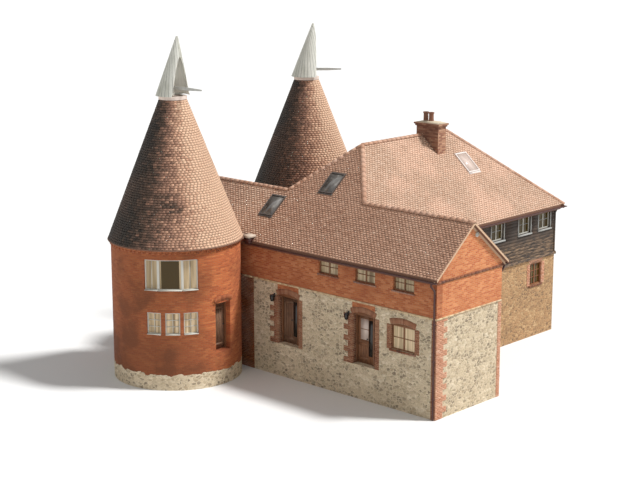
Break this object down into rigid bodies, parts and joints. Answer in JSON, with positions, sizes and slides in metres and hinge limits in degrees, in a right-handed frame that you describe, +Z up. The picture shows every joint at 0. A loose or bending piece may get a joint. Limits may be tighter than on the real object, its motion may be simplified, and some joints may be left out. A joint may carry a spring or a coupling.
{
  "type": "oast house",
  "caption": "Hop-drying house turned dwelling: round brick kilns with conical tiled roofs and turning cowls, a gabled stone and brick range and a hipped boarded block.",
  "frame": {"origin": "middle of the whole plan's box, on the level that the walls' feet stand on", "axes": "+X along the long range towards its gable, +Y from the range's front to the main block's back, +Z up"},
  "size_m": [16.65, 19.19, 14.05],
  "materials": {
    "kiln_brick": "mottled red brick in lime mortar",
    "kiln_tile": "weathered plain clay tiles",
    "cowl_white": "white painted timber and sheet",
    "floor_board": "plain softwood boards",
    "ragstone": "rubble ragstone and flint",
    "range_brick": "orange-red stock brick",
    "black_boards": "black weatherboarding",
    "roof_tile": "plain clay tiles, sun bleached",
    "clay_pot": "unglazed clay",
    "roof_window": "dark grey flashing and frame",
    "white_frame": "white painted timber",
    "window_glass": "clear window glass",
    "brown_timber": "stained timber joinery",
    "dark_gutter": "dark rainwater goods"
  },
  "bodies": {
    "building": {"kiln_1_window_wall": "kiln_brick", "kiln_1_side_wall": "kiln_brick", "kiln_1_back_wall": "kiln_brick", "kiln_1_door_head": "kiln_brick", "kiln_2_outer_wall": "kiln_brick", "kiln_2_inner_wall": "kiln_brick", "kiln_1_roof": "kiln_tile", "kiln_2_roof": "kiln_tile", "kiln_curbs": "cowl_white", "kiln_floors": "floor_board", "ground_floor": "floor_board", "upper_floor": "floor_board", "front_wall_stone": "ragstone", "front_wall_brick": "range_brick", "door_lintels": "range_brick", "door_thresholds": "ragstone", "gable_stone": "ragstone", "gable_brick": "range_brick", "range_back_walls": "range_brick", "main_east_wall": "ragstone", "main_east_boards": "black_boards", "main_north_wall": "ragstone", "main_north_boards": "black_boards", "main_west_wall": "ragstone", "main_west_boards": "black_boards", "front_roof": "roof_tile", "range_rear_roof": "roof_tile", "main_east_roof": "roof_tile", "main_west_roof": "roof_tile", "main_north_roof": "roof_tile", "chimney_stack": "range_brick", "chimney_pots": "clay_pot", "roof_windows": "roof_window", "range_window_frames": "brown_timber", "white_window_frames": "white_frame", "window_glass": "window_glass", "door_frames": "brown_timber", "rainwater_pipes": "dark_gutter"},
    "cowl_1": {"cowl_1_hood": "cowl_white", "cowl_1_vane": "cowl_white"},
    "cowl_2": {"cowl_2_hood": "cowl_white", "cowl_2_vane": "cowl_white"},
    "kiln_door": {"kiln_door": "brown_timber"},
    "range_door_1": {"range_door_1": "brown_timber"},
    "range_door_2": {"range_door_2": "brown_timber"}
  },
  "joints": [
    {"name": "cowl_1_turn", "type": "hinge", "parent": "building", "child": "cowl_1", "pos_m": [-3.695, -6.795, 11.63], "axis": [0, 0, 1], "continuous": true},
    {"name": "cowl_2_turn", "type": "hinge", "parent": "building", "child": "cowl_2", "pos_m": [-5.525, 2.985, 11.48], "axis": [0, 0, 1], "continuous": true},
    {"name": "kiln_door_hinge", "type": "hinge", "parent": "building", "child": "kiln_door", "pos_m": [-1.4475, -6.30671, 2.4], "axis": [0, 0, -1], "range_deg": [0, 90]},
    {"name": "range_door_1_hinge", "type": "hinge", "parent": "building", "child": "range_door_1", "pos_m": [-0.155, -3.99, 2.4], "axis": [0, 0, 1], "range_deg": [0, 90]},
    {"name": "range_door_2_hinge", "type": "hinge", "parent": "building", "child": "range_door_2", "pos_m": [3.975, -3.99, 2.4], "axis": [0, 0, 1], "range_deg": [0, 90]}
  ]
}
